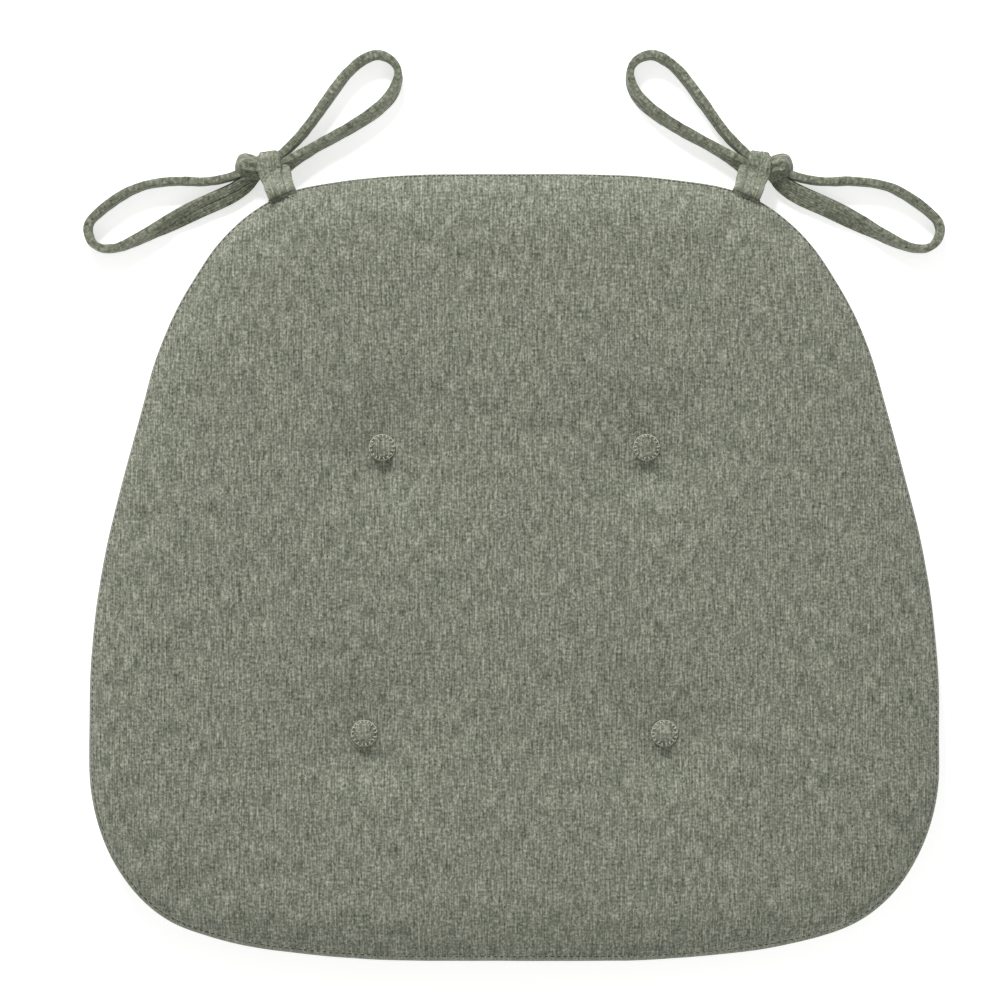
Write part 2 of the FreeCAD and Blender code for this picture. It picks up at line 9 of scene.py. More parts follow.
import bmesh
import bpy
import numpy as np
from mathutils import Vector, noise
from mathutils.bvhtree import BVHTree
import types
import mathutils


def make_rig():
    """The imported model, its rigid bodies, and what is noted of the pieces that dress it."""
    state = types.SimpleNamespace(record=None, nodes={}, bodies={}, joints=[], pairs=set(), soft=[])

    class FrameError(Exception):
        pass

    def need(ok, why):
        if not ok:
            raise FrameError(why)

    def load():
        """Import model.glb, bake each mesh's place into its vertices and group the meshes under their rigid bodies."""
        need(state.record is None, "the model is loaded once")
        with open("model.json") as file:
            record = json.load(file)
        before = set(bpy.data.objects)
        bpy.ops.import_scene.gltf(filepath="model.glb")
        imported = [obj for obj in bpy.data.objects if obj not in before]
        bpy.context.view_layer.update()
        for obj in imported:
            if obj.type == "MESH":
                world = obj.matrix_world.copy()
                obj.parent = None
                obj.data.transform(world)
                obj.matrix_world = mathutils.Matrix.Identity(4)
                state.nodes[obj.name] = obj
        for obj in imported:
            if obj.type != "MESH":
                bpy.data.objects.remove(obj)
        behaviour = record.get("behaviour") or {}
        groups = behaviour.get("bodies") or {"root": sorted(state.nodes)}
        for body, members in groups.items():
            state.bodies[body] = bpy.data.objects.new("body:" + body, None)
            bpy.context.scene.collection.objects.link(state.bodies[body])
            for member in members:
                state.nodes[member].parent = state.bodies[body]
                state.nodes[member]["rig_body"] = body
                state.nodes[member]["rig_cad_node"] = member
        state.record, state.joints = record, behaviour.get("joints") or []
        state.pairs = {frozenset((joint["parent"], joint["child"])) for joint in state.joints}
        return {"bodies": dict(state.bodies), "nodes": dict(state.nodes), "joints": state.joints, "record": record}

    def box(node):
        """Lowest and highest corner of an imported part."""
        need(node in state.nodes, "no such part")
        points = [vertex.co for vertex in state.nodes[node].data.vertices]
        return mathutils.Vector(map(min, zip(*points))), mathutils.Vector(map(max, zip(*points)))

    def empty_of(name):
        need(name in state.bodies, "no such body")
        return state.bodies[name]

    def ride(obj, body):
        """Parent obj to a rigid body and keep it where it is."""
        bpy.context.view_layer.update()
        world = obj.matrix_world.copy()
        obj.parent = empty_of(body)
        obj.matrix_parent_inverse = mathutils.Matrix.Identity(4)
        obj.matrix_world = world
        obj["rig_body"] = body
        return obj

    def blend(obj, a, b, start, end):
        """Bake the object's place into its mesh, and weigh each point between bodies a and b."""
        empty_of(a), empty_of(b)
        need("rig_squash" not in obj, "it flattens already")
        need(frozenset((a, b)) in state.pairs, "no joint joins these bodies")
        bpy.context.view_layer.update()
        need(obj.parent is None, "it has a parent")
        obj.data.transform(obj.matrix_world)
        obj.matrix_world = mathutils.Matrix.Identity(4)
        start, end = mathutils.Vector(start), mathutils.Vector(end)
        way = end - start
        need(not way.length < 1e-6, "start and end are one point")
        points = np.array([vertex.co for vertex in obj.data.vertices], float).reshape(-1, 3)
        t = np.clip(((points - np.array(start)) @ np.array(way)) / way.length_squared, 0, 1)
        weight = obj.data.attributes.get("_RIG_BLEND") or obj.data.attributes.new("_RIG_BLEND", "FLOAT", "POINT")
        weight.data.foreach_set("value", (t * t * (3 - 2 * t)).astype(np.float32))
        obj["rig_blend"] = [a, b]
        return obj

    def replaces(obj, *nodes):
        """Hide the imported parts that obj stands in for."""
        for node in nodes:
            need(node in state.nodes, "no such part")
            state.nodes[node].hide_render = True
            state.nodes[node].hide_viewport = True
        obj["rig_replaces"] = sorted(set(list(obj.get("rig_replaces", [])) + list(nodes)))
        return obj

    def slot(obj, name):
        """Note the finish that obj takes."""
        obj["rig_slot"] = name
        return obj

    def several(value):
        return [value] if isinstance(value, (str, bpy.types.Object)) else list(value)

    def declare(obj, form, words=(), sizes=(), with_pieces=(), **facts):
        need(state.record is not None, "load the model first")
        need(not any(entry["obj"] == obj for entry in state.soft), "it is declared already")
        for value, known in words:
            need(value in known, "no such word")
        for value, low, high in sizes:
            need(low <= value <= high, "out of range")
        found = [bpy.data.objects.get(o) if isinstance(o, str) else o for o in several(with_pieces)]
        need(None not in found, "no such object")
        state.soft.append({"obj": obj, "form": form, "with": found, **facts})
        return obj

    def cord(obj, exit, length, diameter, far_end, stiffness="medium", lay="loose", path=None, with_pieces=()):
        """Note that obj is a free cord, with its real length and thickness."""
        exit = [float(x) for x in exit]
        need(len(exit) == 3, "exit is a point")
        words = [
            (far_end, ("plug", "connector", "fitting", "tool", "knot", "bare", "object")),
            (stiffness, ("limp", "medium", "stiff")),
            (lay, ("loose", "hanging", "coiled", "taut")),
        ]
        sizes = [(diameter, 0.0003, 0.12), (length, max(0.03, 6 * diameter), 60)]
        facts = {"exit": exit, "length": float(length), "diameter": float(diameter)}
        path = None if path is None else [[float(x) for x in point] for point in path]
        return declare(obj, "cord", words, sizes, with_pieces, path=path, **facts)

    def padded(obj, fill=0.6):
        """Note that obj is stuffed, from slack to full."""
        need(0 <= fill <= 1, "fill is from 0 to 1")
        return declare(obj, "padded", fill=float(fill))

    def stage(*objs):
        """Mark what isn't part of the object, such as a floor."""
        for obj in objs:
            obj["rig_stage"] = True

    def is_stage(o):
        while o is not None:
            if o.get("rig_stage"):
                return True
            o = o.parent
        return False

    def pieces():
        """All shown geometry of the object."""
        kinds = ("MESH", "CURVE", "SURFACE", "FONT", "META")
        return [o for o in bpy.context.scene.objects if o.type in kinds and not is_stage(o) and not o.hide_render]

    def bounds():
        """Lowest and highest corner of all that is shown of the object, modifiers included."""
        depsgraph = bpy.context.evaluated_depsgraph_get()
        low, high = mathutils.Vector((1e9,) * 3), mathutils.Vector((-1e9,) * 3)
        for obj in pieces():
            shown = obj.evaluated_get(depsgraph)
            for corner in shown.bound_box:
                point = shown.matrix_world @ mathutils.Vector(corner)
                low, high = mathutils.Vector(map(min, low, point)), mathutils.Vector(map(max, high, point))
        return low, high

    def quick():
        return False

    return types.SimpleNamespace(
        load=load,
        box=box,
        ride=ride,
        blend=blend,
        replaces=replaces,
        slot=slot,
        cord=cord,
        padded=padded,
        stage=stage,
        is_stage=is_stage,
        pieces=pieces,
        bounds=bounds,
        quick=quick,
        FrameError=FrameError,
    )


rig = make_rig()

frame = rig.load()
cad_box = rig.bounds()

MM = 0.001
TUFTS = ("back_left", "back_right", "front_left", "front_right")
UP = Vector((0, 0, 1))

# ---------------------------------------------------------------- camera, light and floor

LENS, SENSOR = 100.0, 36.0          # the camera's focal length and the width of its sensor, in mm
FOCUS_HEIGHT = 20 * MM              # the height of the pad's widest line
VIEW_WIDTH = 506.48 * MM            # how much the camera sees across at that height
CAMERA_X, CAMERA_Y = -7.2 * MM, 34.2 * MM       # the place that the camera looks straight down on
SURROUND_STRENGTH = 0.44            # how strongly the white surround lights the pad
LAMPS = (                           # name, place, width, and power in watts
    ("back_lamp", (-0.6, 2.3, 1.8), 0.65, 66.0),
    ("front_lamp", (0.4, -1.2, 1.6), 1.2, 4.5),
)
FLOOR_SIZE = 12.0
FLOOR_SHADE, FLOOR_GLOW = 0.93, 0.56


def add_camera():
    """Looks straight down on the pad, with the back edge at the top of the picture."""
    data = bpy.data.cameras.new("camera")
    data.lens = LENS
    data.sensor_width = SENSOR
    camera = bpy.data.objects.new("camera", data)
    distance = VIEW_WIDTH * LENS / SENSOR
    camera.location = (CAMERA_X, CAMERA_Y, FOCUS_HEIGHT + distance)
    bpy.context.scene.collection.objects.link(camera)
    bpy.context.scene.camera = camera


def add_surround():
    """A white surround. It lights the pad at less than full strength, but the camera sees it white."""
    world = bpy.data.worlds.new("surround")
    world.use_nodes = True
    nodes, links = world.node_tree.nodes, world.node_tree.links
    background = nodes["Background"]
    background.inputs["Color"].default_value = (1, 1, 1, 1)
    light_path = nodes.new("ShaderNodeLightPath")
    strength = nodes.new("ShaderNodeMath")
    strength.operation = "MULTIPLY_ADD"
    strength.inputs[1].default_value = 1.0 - SURROUND_STRENGTH
    strength.inputs[2].default_value = SURROUND_STRENGTH
    links.new(light_path.outputs["Is Camera Ray"], strength.inputs[0])
    links.new(strength.outputs[0], background.inputs["Strength"])
    bpy.context.scene.world = world


def add_lamp(name, place, width, power):
    """A round soft lamp that points at the pad."""
    data = bpy.data.lights.new(name, "AREA")
    data.shape = "DISK"
    data.size = width
    data.energy = power
    lamp = bpy.data.objects.new(name, data)
    lamp.location = place
    lamp.rotation_euler = (-Vector(place)).to_track_quat("-Z", "Y").to_euler()
    bpy.context.scene.collection.objects.link(lamp)


def add_floor():
    """A pale floor that glows a little, so that it is white all round the pad's soft shadow."""
    bpy.ops.mesh.primitive_plane_add(size=FLOOR_SIZE)
    floor = bpy.context.object
    floor.name = "floor"
    material = bpy.data.materials.new("pale_floor")
    material.use_nodes = True
    inputs = material.node_tree.nodes["Principled BSDF"].inputs
    inputs["Base Color"].default_value = (FLOOR_SHADE, FLOOR_SHADE, FLOOR_SHADE, 1)
    inputs["Roughness"].default_value = 0.9
    inputs["Specular IOR Level"].default_value = 0.1
    inputs["Emission Color"].default_value = (1, 1, 1, 1)
    inputs["Emission Strength"].default_value = FLOOR_GLOW
    floor.data.materials.append(material)
    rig.stage(floor)


bpy.context.scene.view_settings.view_transform = "Standard"
add_camera()
add_surround()
for lamp_settings in LAMPS:
    add_lamp(*lamp_settings)
add_floor()

# ---------------------------------------------------------------- materials

COVER_DARK = (0.070, 0.078, 0.055)
COVER_MIDDLE = (0.205, 0.218, 0.167)
COVER_LIGHT = (0.46, 0.47, 0.38)
RIB_PITCH, RIB_WANDER = 1.25 * MM, 1.6 * MM     # from rib to rib, and how far a rib strays to the side
WEFT_PITCH = 0.9 * MM
# Which of a mix node's sockets are for colours.
MIX_FACTOR, MIX_FIRST, MIX_SECOND, MIX_RESULT = 0, 6, 7, 2


class Nodes:
    """Short ways to add and link the nodes of one material."""

    def __init__(self, name):
        self.material = bpy.data.materials.new(name)
        self.material.use_nodes = True
        self.tree = self.material.node_tree
        self.shader = self.tree.nodes["Principled BSDF"]

    def add(self, kind, inputs=None, **settings):
        node = self.tree.nodes.new(kind)
        for key, value in settings.items():
            setattr(node, key, value)
        for key, value in (inputs or {}).items():
            if isinstance(value, bpy.types.NodeSocket):
                self.tree.links.new(value, node.inputs[key])
            else:
                node.inputs[key].default_value = value
        return node

    def maths(self, operation, first, second=0.0):
        return self.add("ShaderNodeMath", {0: first, 1: second}, operation=operation).outputs[0]

    def weighted(self, *terms):
        """The sum of several values, each times its weight."""
        total = None
        for value, weight in terms:
            term = self.maths("MULTIPLY", value, weight)
            total = term if total is None else self.maths("ADD", total, term)
        return total

    def stretched(self, coordinates, scale):
        return self.add("ShaderNodeVectorMath", {0: coordinates, 1: scale}, operation="MULTIPLY").outputs[0]

    def noise(self, coordinates, scale, detail=2.0, roughness=0.5):
        """Noise, 0 to 1, whose grain is 1 / scale metres along each axis."""
        place = self.stretched(coordinates, scale)
        inputs = {"Vector": place, "Scale": 1.0, "Detail": detail, "Roughness": roughness}
        return self.add("ShaderNodeTexNoise", inputs).outputs["Fac"]

    def ramp(self, value, stops):
        """The colour that goes with a value. Each stop is a position and a colour."""
        node = self.add("ShaderNodeValToRGB", {"Fac": value})
        elements = node.color_ramp.elements
        while len(elements) < len(stops):
            elements.new(0.5)
        for element, (position, colour) in zip(elements, stops):
            element.position = position
            element.color = (*colour, 1)
        return node.outputs["Color"]

    def threshold(self, value, low, high):
        """0 below low, 1 above high."""
        node = self.add("ShaderNodeMapRange", {"Value": value, "From Min": low, "From Max": high})
        return node.outputs["Result"]

    def mix(self, factor, first, second):
        """The first colour where the factor is 0, the second where it is 1."""
        inputs = {MIX_FACTOR: factor}
        for key, value in ((MIX_FIRST, first), (MIX_SECOND, second)):
            inputs[key] = value if isinstance(value, bpy.types.NodeSocket) else (*value, 1)
        return self.add("ShaderNodeMix", inputs, data_type="RGBA").outputs[MIX_RESULT]

    def colour(self, socket):
        self.tree.links.new(socket, self.shader.inputs["Base Color"])

    def bump(self, height, distance, strength):
        node = self.add("ShaderNodeBump", {"Height": height, "Distance": distance, "Strength": strength})
        self.tree.links.new(node.outputs["Normal"], self.shader.inputs["Normal"])

    def surface(self, roughness, sheen, specular):
        self.shader.inputs["Roughness"].default_value = roughness
        self.shader.inputs["Sheen Weight"].default_value = sheen
        self.shader.inputs["Sheen Roughness"].default_value = 0.5
        self.shader.inputs["Specular IOR Level"].default_value = specular


def per_metre(*grains):
    """The scale that gives noise grains of these sizes, in millimetres."""
    return tuple(1.0 / (grain * MM) for grain in grains)


def darker(colour, share):
    return tuple(share * part for part in colour)


def woven_cloth(name, tint=(1.0, 1.0, 1.0), contrast=0.76, streak=8.5):
    """Heathered cloth with irregular ribs along the second weave coordinate: mixed light and dark yarns,
    streaks along the ribs, a fine weft across them, and a few dark slubs and light flecks. The length of a
    streak is in mm."""
    n = Nodes(name)
    dark, middle, light = (
        tuple(part * share for part, share in zip(colour, tint))
        for colour in (COVER_DARK, COVER_MIDDLE, COVER_LIGHT)
    )
    weave = n.add("ShaderNodeAttribute", attribute_name="weave").outputs["Vector"]
    place = n.add("ShaderNodeSeparateXYZ", {0: weave})
    wander = n.noise(weave, per_metre(9, 26, 9))
    across = n.weighted((place.outputs[0], 1.0), (wander, RIB_WANDER))
    rib_phase = n.maths("MULTIPLY", across, 2 * math.pi / RIB_PITCH)
    rib = n.maths("SINE", rib_phase)
    weft_phase = n.maths("MULTIPLY", place.outputs[1], 2 * math.pi / WEFT_PITCH)
    # The weft goes over one rib and under the next.
    weft_side = n.maths("SINE", n.maths("MULTIPLY", rib_phase, 0.5))
    weft = n.maths("MULTIPLY", n.maths("SINE", weft_phase), weft_side)

    streaks = n.noise(weave, per_metre(1.1, streak, 3.0), roughness=0.55)
    picks = n.noise(weave, per_metre(3.4, 1.2, 3.0), roughness=0.55)
    speckle = n.noise(weave, per_metre(1.15, 1.5, 1.5), roughness=0.6)
    patches = n.noise(weave, per_metre(7, 11, 9))
    yarns = ((streaks, 1.6), (picks, 0.95), (speckle, 1.95), (patches, 0.55))
    tone = n.weighted(*((value, weight * contrast) for value, weight in yarns), (rib, 0.055), (weft, 0.03))
    # Each noise lies about 0.5, so this brings their sum back to the middle of the ramp.
    tone = n.maths("ADD", tone, 0.5 - 0.5 * contrast * sum(weight for _, weight in yarns))
    base = n.ramp(tone, [(0.0, dark), (0.5, middle), (1.0, light)])

    slub_noise = n.noise(weave, per_metre(1.4, 2.4, 2.0), detail=0.0)
    slubs = n.threshold(slub_noise, 0.76, 0.84)
    base = n.mix(n.maths("MULTIPLY", slubs, 0.8), base, darker(dark, 0.7))
    fleck_noise = n.noise(n.stretched(weave, (1.0, 1.0, -1.0)), per_metre(0.9, 2.8, 2.0), detail=0.0)
    flecks = n.threshold(fleck_noise, 0.76, 0.86)
    base = n.mix(n.maths("MULTIPLY", flecks, 0.5), base, light)
    n.colour(base)

    height = n.weighted((rib, 0.35), (weft, 0.25), (speckle, 0.8), (streaks, 0.6), (slubs, 0.5))
    n.bump(height, 0.16 * MM, 0.8)
    n.surface(0.92, sheen=0.15, specular=0.15)
    return n.material


def fluffy(name, colour, grain):
    """Foam or wadding: a pale mass with small pores or fibres. Their grain is in mm."""
    n = Nodes(name)
    place = n.add("ShaderNodeTexCoord").outputs["Object"]
    pores = n.noise(place, per_metre(*grain), detail=4.0, roughness=0.65)
    n.colour(n.ramp(pores, [(0.3, darker(colour, 0.72)), (0.6, colour)]))
    n.bump(pores, 0.6 * MM, 0.7)
    n.surface(0.95, sheen=0.2, specular=0.1)
    return n.material


def spun_thread(name, colour, pitch=0.5 * MM):
    """Plied thread: a fine slanting twist, with yarns of slightly different shades."""
    n = Nodes(name)
    place = n.add("ShaderNodeTexCoord").outputs["Object"]
    axes = n.add("ShaderNodeSeparateXYZ", {0: place})
    slant = n.weighted((axes.outputs[0], 1.0), (axes.outputs[1], 0.8), (axes.outputs[2], 1.3))
    plies = n.maths("SINE", n.maths("MULTIPLY", slant, 2 * math.pi / pitch))
    fuzz = n.noise(place, per_metre(0.35, 0.35, 0.35))
    shade = n.weighted((plies, 0.2), (fuzz, 0.8))
    n.colour(n.ramp(shade, [(0.1, darker(colour, 0.55)), (0.7, colour)]))
    n.bump(shade, 0.08 * MM, 0.7)
    n.surface(0.7, sheen=0.1, specular=0.3)
    return n.material


cover_cloth = woven_cloth("cover_cloth")
band_cloth = woven_cloth("band_cloth", (0.97, 0.985, 0.93), 0.62)
tie_cloth = woven_cloth("tie_cloth", (0.93, 0.94, 0.91), 0.62, streak=2.0)
pale_thread = spun_thread("pale_thread", (0.62, 0.62, 0.51))
seam_thread = spun_thread("seam_thread", (0.10, 0.105, 0.08))
waxed_twine = spun_thread("waxed_twine", (0.60, 0.58, 0.48), 1.2 * MM)
white_wadding = fluffy("white_wadding", (0.85, 0.85, 0.83), (1.6, 1.6, 1.1))
cream_foam = fluffy("cream_foam", (0.88, 0.84, 0.68), (0.8, 0.8, 0.8))

# ---------------------------------------------------------------- mesh helpers

THREAD_SIDES = 6
THREAD_TIP = 0.45                   # how thick a thread's ends are beside the rest of it


def new_piece(name, vertices, faces, material):
    mesh = bpy.data.meshes.new(name)
    mesh.from_pydata([tuple(v) for v in vertices], [], faces)
    mesh.materials.append(material)
    mesh.shade_smooth()
    piece = bpy.data.objects.new(name, mesh)
    bpy.context.scene.collection.objects.link(piece)
    return piece


def face_outwards(piece):
    work = bmesh.new()
    work.from_mesh(piece.data)
    bmesh.ops.recalc_face_normals(work, faces=work.faces)
    work.to_mesh(piece.data)
    work.free()
    return piece


def set_weave(piece, coordinates):
    """Stores where each vertex is on the flat cloth: metres across the ribs and along them."""
    attribute = piece.data.attributes.new("weave", "FLOAT_VECTOR", "POINT")
    attribute.data.foreach_set("vector", np.asarray(coordinates, np.float32).ravel())


def vertex_array(piece):
    places = np.empty(len(piece.data.vertices) * 3)
    piece.data.vertices.foreach_get("co", places)
    return places.reshape(-1, 3)


def move_vertices(piece, places):
    piece.data.vertices.foreach_set("co", places.ravel())
    piece.data.update()


def apply_modifier(piece, kind, **settings):
    modifier = piece.modifiers.new(kind.lower(), kind)
    for key, value in settings.items():
        setattr(modifier, key, value)
    graph = bpy.context.evaluated_depsgraph_get()
    result = bpy.data.meshes.new_from_object(piece.evaluated_get(graph))
    piece.modifiers.clear()
    old = piece.data
    piece.data = result
    bpy.data.meshes.remove(old)
    result.name = piece.name


def ring_faces(first, second):
    """The faces between two rings with as many vertices each."""
    count = len(first)
    return [(first[k], second[k], second[(k + 1) % count], first[(k + 1) % count]) for k in range(count)]


def tube_faces(rings, sides):
    """The faces of a tube with closed ends, whose rings have this many vertices each."""
    faces = []
    for ring in range(rings - 1):
        for k in range(sides):
            a, b = ring * sides + k, ring * sides + (k + 1) % sides
            faces.append((a, b, b + sides, a + sides))
    faces.append(tuple(reversed(range(sides))))
    faces.append(tuple(range((rings - 1) * sides, rings * sides)))
    return faces


def thread_vertices(points, radius):
    """The vertices of a thin round thread with tapered ends along a few points."""
    vertices = []
    last = len(points) - 1
    for i, point in enumerate(points):
        ahead = (points[min(i + 1, last)] - points[max(i - 1, 0)]).normalized()
        side = ahead.cross(UP if abs(ahead.z) < 0.9 else Vector((1, 0, 0))).normalized()
        up = side.cross(ahead)
        here = radius * (THREAD_TIP if i in (0, last) else 1.0)
        for k in range(THREAD_SIDES):
            angle = 2 * math.pi * k / THREAD_SIDES
            vertices.append(point + (side * math.cos(angle) + up * math.sin(angle)) * here)
    return vertices


def thread_piece(name, lines, radius, material):
    """One piece made of several threads."""
    vertices, faces = [], []
    for line in lines:
        start = len(vertices)
        vertices += thread_vertices(line, radius)
        faces += [tuple(start + index for index in face) for face in tube_faces(len(line), THREAD_SIDES)]
    return face_outwards(new_piece(name, vertices, faces, material))


# ---------------------------------------------------------------- the stuffed cover

GRID = 48                           # half the quads across the top panel
TOP_INSET = 13 * MM                 # where the flat top ends and the shoulder begins
pad_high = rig.box("top_panel")[1]
PAD_TOP = pad_high.z
TOP_SEAM_Z = 30 * MM
BOTTOM_SEAM_Z = 4.6 * MM
FLOOR_GAP = 0.05 * MM               # how far the underside lies above the floor
CROWN = 1.2 * MM                    # how far the middle stands higher than the edge of the top
button_low, button_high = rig.box("tuft_button_back_left")
BUTTON_FLOOR, BUTTON_RADIUS = button_low.z, (button_high.x - button_low.x) / 2
ANCHOR_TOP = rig.box("twine_anchor_back_left")[1].z
TUFT_BED_RADIUS = 8.0 * MM          # the cloth is drawn down flat as far out as this,
DIMPLE_RADIUS = 38 * MM             # and is back at its full height here
RISE_BEHIND = 0.45                  # how much less deep the dimple is behind a button than in front of it
FOLDS, FOLD_HEIGHT = 9, 0.28 * MM   # the folds that run out from a button
DENT_DEPTH, DENT_WIDTH = 4.6 * MM, 9.5 * MM     # the cloth sinks in front of each button
DENT_DROP, DENT_RISE = 9.0 * MM, 20 * MM        # how far it takes to sink, and to rise again
DENT_UNDER = 0.2                    # the share of the sinking that lies under the button
DENT_LEAN = 0.25                    # how far to the side the dent drifts for each metre it runs forwards
RECESS_BED, RECESS_RADIUS = 5.8 * MM, 12.5 * MM     # the underside's recess round an anchor
# How the cover's side curves, from the shoulder down to the underside: how far in from the outline,
# and how high. The two seams are the two places where it is drawn in.
SHOULDER = [(9.2, 37.75), (6.6, 36.7), (4.6, 35.1), (3.1, 33.2), (2.2, 31.5), (1.9, 30.35)]
BAND = [
    (1.85, 29.7), (1.05, 28.4), (0.45, 25.8), (0.12, 22.0), (0.0, 17.5),
    (0.08, 13.0), (0.4, 9.2), (1.0, 6.4), (1.9, 4.9),
]
UNDERSIDE = [(2.1, 4.3), (2.9, 2.7), (4.6, 1.2), (7.2, 0.35), (10.5, 0.05)]
RIPPLE = 0.3                        # how far the side strays in and out, in mm
SEAM_LEAN = 2.0                     # how much further in the top seam lies at the front, in mm
LEAN_HEIGHT, LEAN_SPREAD = 31, 4.5  # where on the side that is so, and over what height

OUTLINE_COUNT = 1440
OUTLINE_PASSES = 12                 # how often the outline is smoothed
OUTSIDE = 1.0                       # a distance from the middle that is well outside the pad
TANGENT_REACH = 3                   # a tangent runs from this many points behind to as many ahead
CORNER_ANGLES = (226, 314, 55, 125)             # where the grid's corners lie on the outline, in degrees


def tuft_place(name):
    low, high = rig.box("tuft_button_" + name)
    return Vector(((low.x + high.x) / 2, (low.y + high.y) / 2, 0))


def outline_points():
    """The pad's outline, found by looking in at the side band from all round, and smoothed."""
    band = frame["nodes"]["side_band"].data
    tree = BVHTree.FromPolygons([v.co for v in band.vertices], [tuple(p.vertices) for p in band.polygons])
    angles = 2 * np.pi * np.arange(OUTLINE_COUNT) / OUTLINE_COUNT
    radii = []
    for angle in angles:
        ahead = Vector((math.cos(angle), math.sin(angle), 0))
        hit = tree.ray_cast(ahead * OUTSIDE + Vector((0, 0, PAD_TOP / 2)), -ahead)
        radii.append(OUTSIDE - hit[3])
    radii = np.array(radii)
    for _ in range(OUTLINE_PASSES):
        radii = (np.roll(radii, 1) + 2 * radii + np.roll(radii, -1)) / 4
    return np.stack([radii * np.cos(angles), radii * np.sin(angles)], axis=1)


tuft_places = {name: tuft_place(name) for name in TUFTS}
OUTLINE = outline_points()


def outline_at(shares):
    """Points on the outline, their outward normals and their distances round it. The shares run from 0 to
    1, a quarter for each side of the grid."""
    steps = np.linalg.norm(np.roll(OUTLINE, -1, axis=0) - OUTLINE, axis=1)
    walked = np.concatenate([[0], np.cumsum(steps)])
    total = walked[-1]
    corners = [walked[round(angle / 360 * OUTLINE_COUNT)] for angle in CORNER_ANGLES]
    start = corners[0]
    stops = [(corner - start) % total for corner in corners] + [total]
    distance = np.interp(shares, np.linspace(0, 1, 5), stops)
    along = (distance + start) % total
    closed = np.vstack([OUTLINE, OUTLINE[:1]])
    x, y = (np.interp(along, walked, closed[:, axis]) for axis in (0, 1))
    tangents = np.roll(OUTLINE, -TANGENT_REACH, axis=0) - np.roll(OUTLINE, TANGENT_REACH, axis=0)
    tangents = np.vstack([tangents, tangents[:1]])
    tx, ty = (np.interp(along, walked, tangents[:, axis]) for axis in (0, 1))
    length = np.hypot(tx, ty)
    return np.stack([x, y], axis=1), np.stack([ty / length, -tx / length], axis=1), distance


def ring_share(i, j):
    """How far round its ring a grid point lies, and which ring it is on."""
    k = max(abs(i), abs(j))
    if k == 0:
        return 0.0, 0
    if j == -k and i < k:
        walked = i + k
    elif i == k and j < k:
        walked = 2 * k + j + k
    elif j == k and i > -k:
        walked = 4 * k + k - i
    else:
        walked = 6 * k + k - j
    return walked / (8 * k), k


def panel_grid():
    """A square grid stretched to the edge of the flat top: places, faces and the outer ring."""
    lattice = [(i, j) for j in range(-GRID, GRID + 1) for i in range(-GRID, GRID + 1)]
    shares, rings = zip(*(ring_share(i, j) for i, j in lattice))
    edge, normals, _ = outline_at(np.array(shares))
    inside = edge - normals * TOP_INSET
    places = inside * (np.array(rings)[:, None] / GRID)
    width = 2 * GRID + 1
    faces = [
        (row * width + i, row * width + i + 1, (row + 1) * width + i + 1, (row + 1) * width + i)
        for row in range(width - 1)
        for i in range(width - 1)
    ]
    outer = [index for index, ring in enumerate(rings) if ring == GRID]
    outer.sort(key=lambda index: shares[index])
    return places, faces, outer


def smooth_step(value):
    value = min(max(value, 0.0), 1.0)
    return value * value * (3 - 2 * value)


def top_height(x, y):
    """The height of the stuffed top: crowned, drawn down at the tufts, with soft folds round them."""
    spread = (x / pad_high.x) ** 2 + (y / pad_high.y) ** 2
    height = PAD_TOP + CROWN * (1 - min(spread, 1.0))
    broad = noise.noise(Vector((x, y, 0)) * 22) * 0.5
    fine = noise.noise(Vector((x, y, 0.1)) * 60) * 0.22
    height += (broad + fine) * MM
    for place in tuft_places.values():
        dx, dy = x - place.x, y - place.y
        far = math.hypot(dx, dy)
        if far < DIMPLE_RADIUS:
            depth = height - BUTTON_FLOOR
            out = (far - TUFT_BED_RADIUS) / (DIMPLE_RADIUS - TUFT_BED_RADIUS)
            behind = max(dy, 0.0) / max(far, BUTTON_RADIUS)
            risen = RISE_BEHIND * behind * smooth_step(far / BUTTON_RADIUS - 1)
            share = (1 - smooth_step(out)) * (1 - risen)
            angle = math.atan2(dy, dx)
            fold = math.sin(angle * FOLDS + 3 * noise.noise(Vector((angle, place.x * 90, 0))))
            ridge = FOLD_HEIGHT * fold * smooth_step(out * 5) * (1 - smooth_step(out * 1.4))
            height += ridge - depth * share
    return height


def dent(x, y):
    """How far the cloth is drawn in just in front of the tufts."""
    total = 0.0
    for place in tuft_places.values():
        ahead = place.y - y - BUTTON_RADIUS
        aside = x - place.x - DENT_LEAN * ahead
        sinking = smooth_step((ahead + DENT_UNDER * DENT_DROP) / DENT_DROP)
        rising = smooth_step((ahead - (1 - DENT_UNDER) * DENT_DROP) / DENT_RISE)
        total += DENT_DEPTH * math.exp(-((aside / DENT_WIDTH) ** 2)) * sinking * (1 - rising)
    return total


def press_dents(piece):
    places = vertex_array(piece)
    for spot in places:
        if spot[2] > PAD_TOP / 2:
            spot[2] -= dent(spot[0], spot[1])
    move_vertices(piece, places)


def bottom_height(x, y):
    """The height of the underside: flat on the seat, drawn up into a recess at each tuft."""
    height = FLOOR_GAP
    for place in tuft_places.values():
        far = math.hypot(x - place.x, y - place.y)
        out = (far - RECESS_BED) / (RECESS_RADIUS - RECESS_BED)
        height += ANCHOR_TOP * (1 - smooth_step(out))
    return height


def seam_lean(facing_back, height):
    """How much further in the side lies at this height, in mm. It is drawn in at the top seam, most at the
    front, where the band bulges out past the seam."""
    facing_front = (1 - facing_back) / 2
    return SEAM_LEAN * smooth_step(facing_front) * math.exp(-(((height - LEAN_HEIGHT) / LEAN_SPREAD) ** 2))


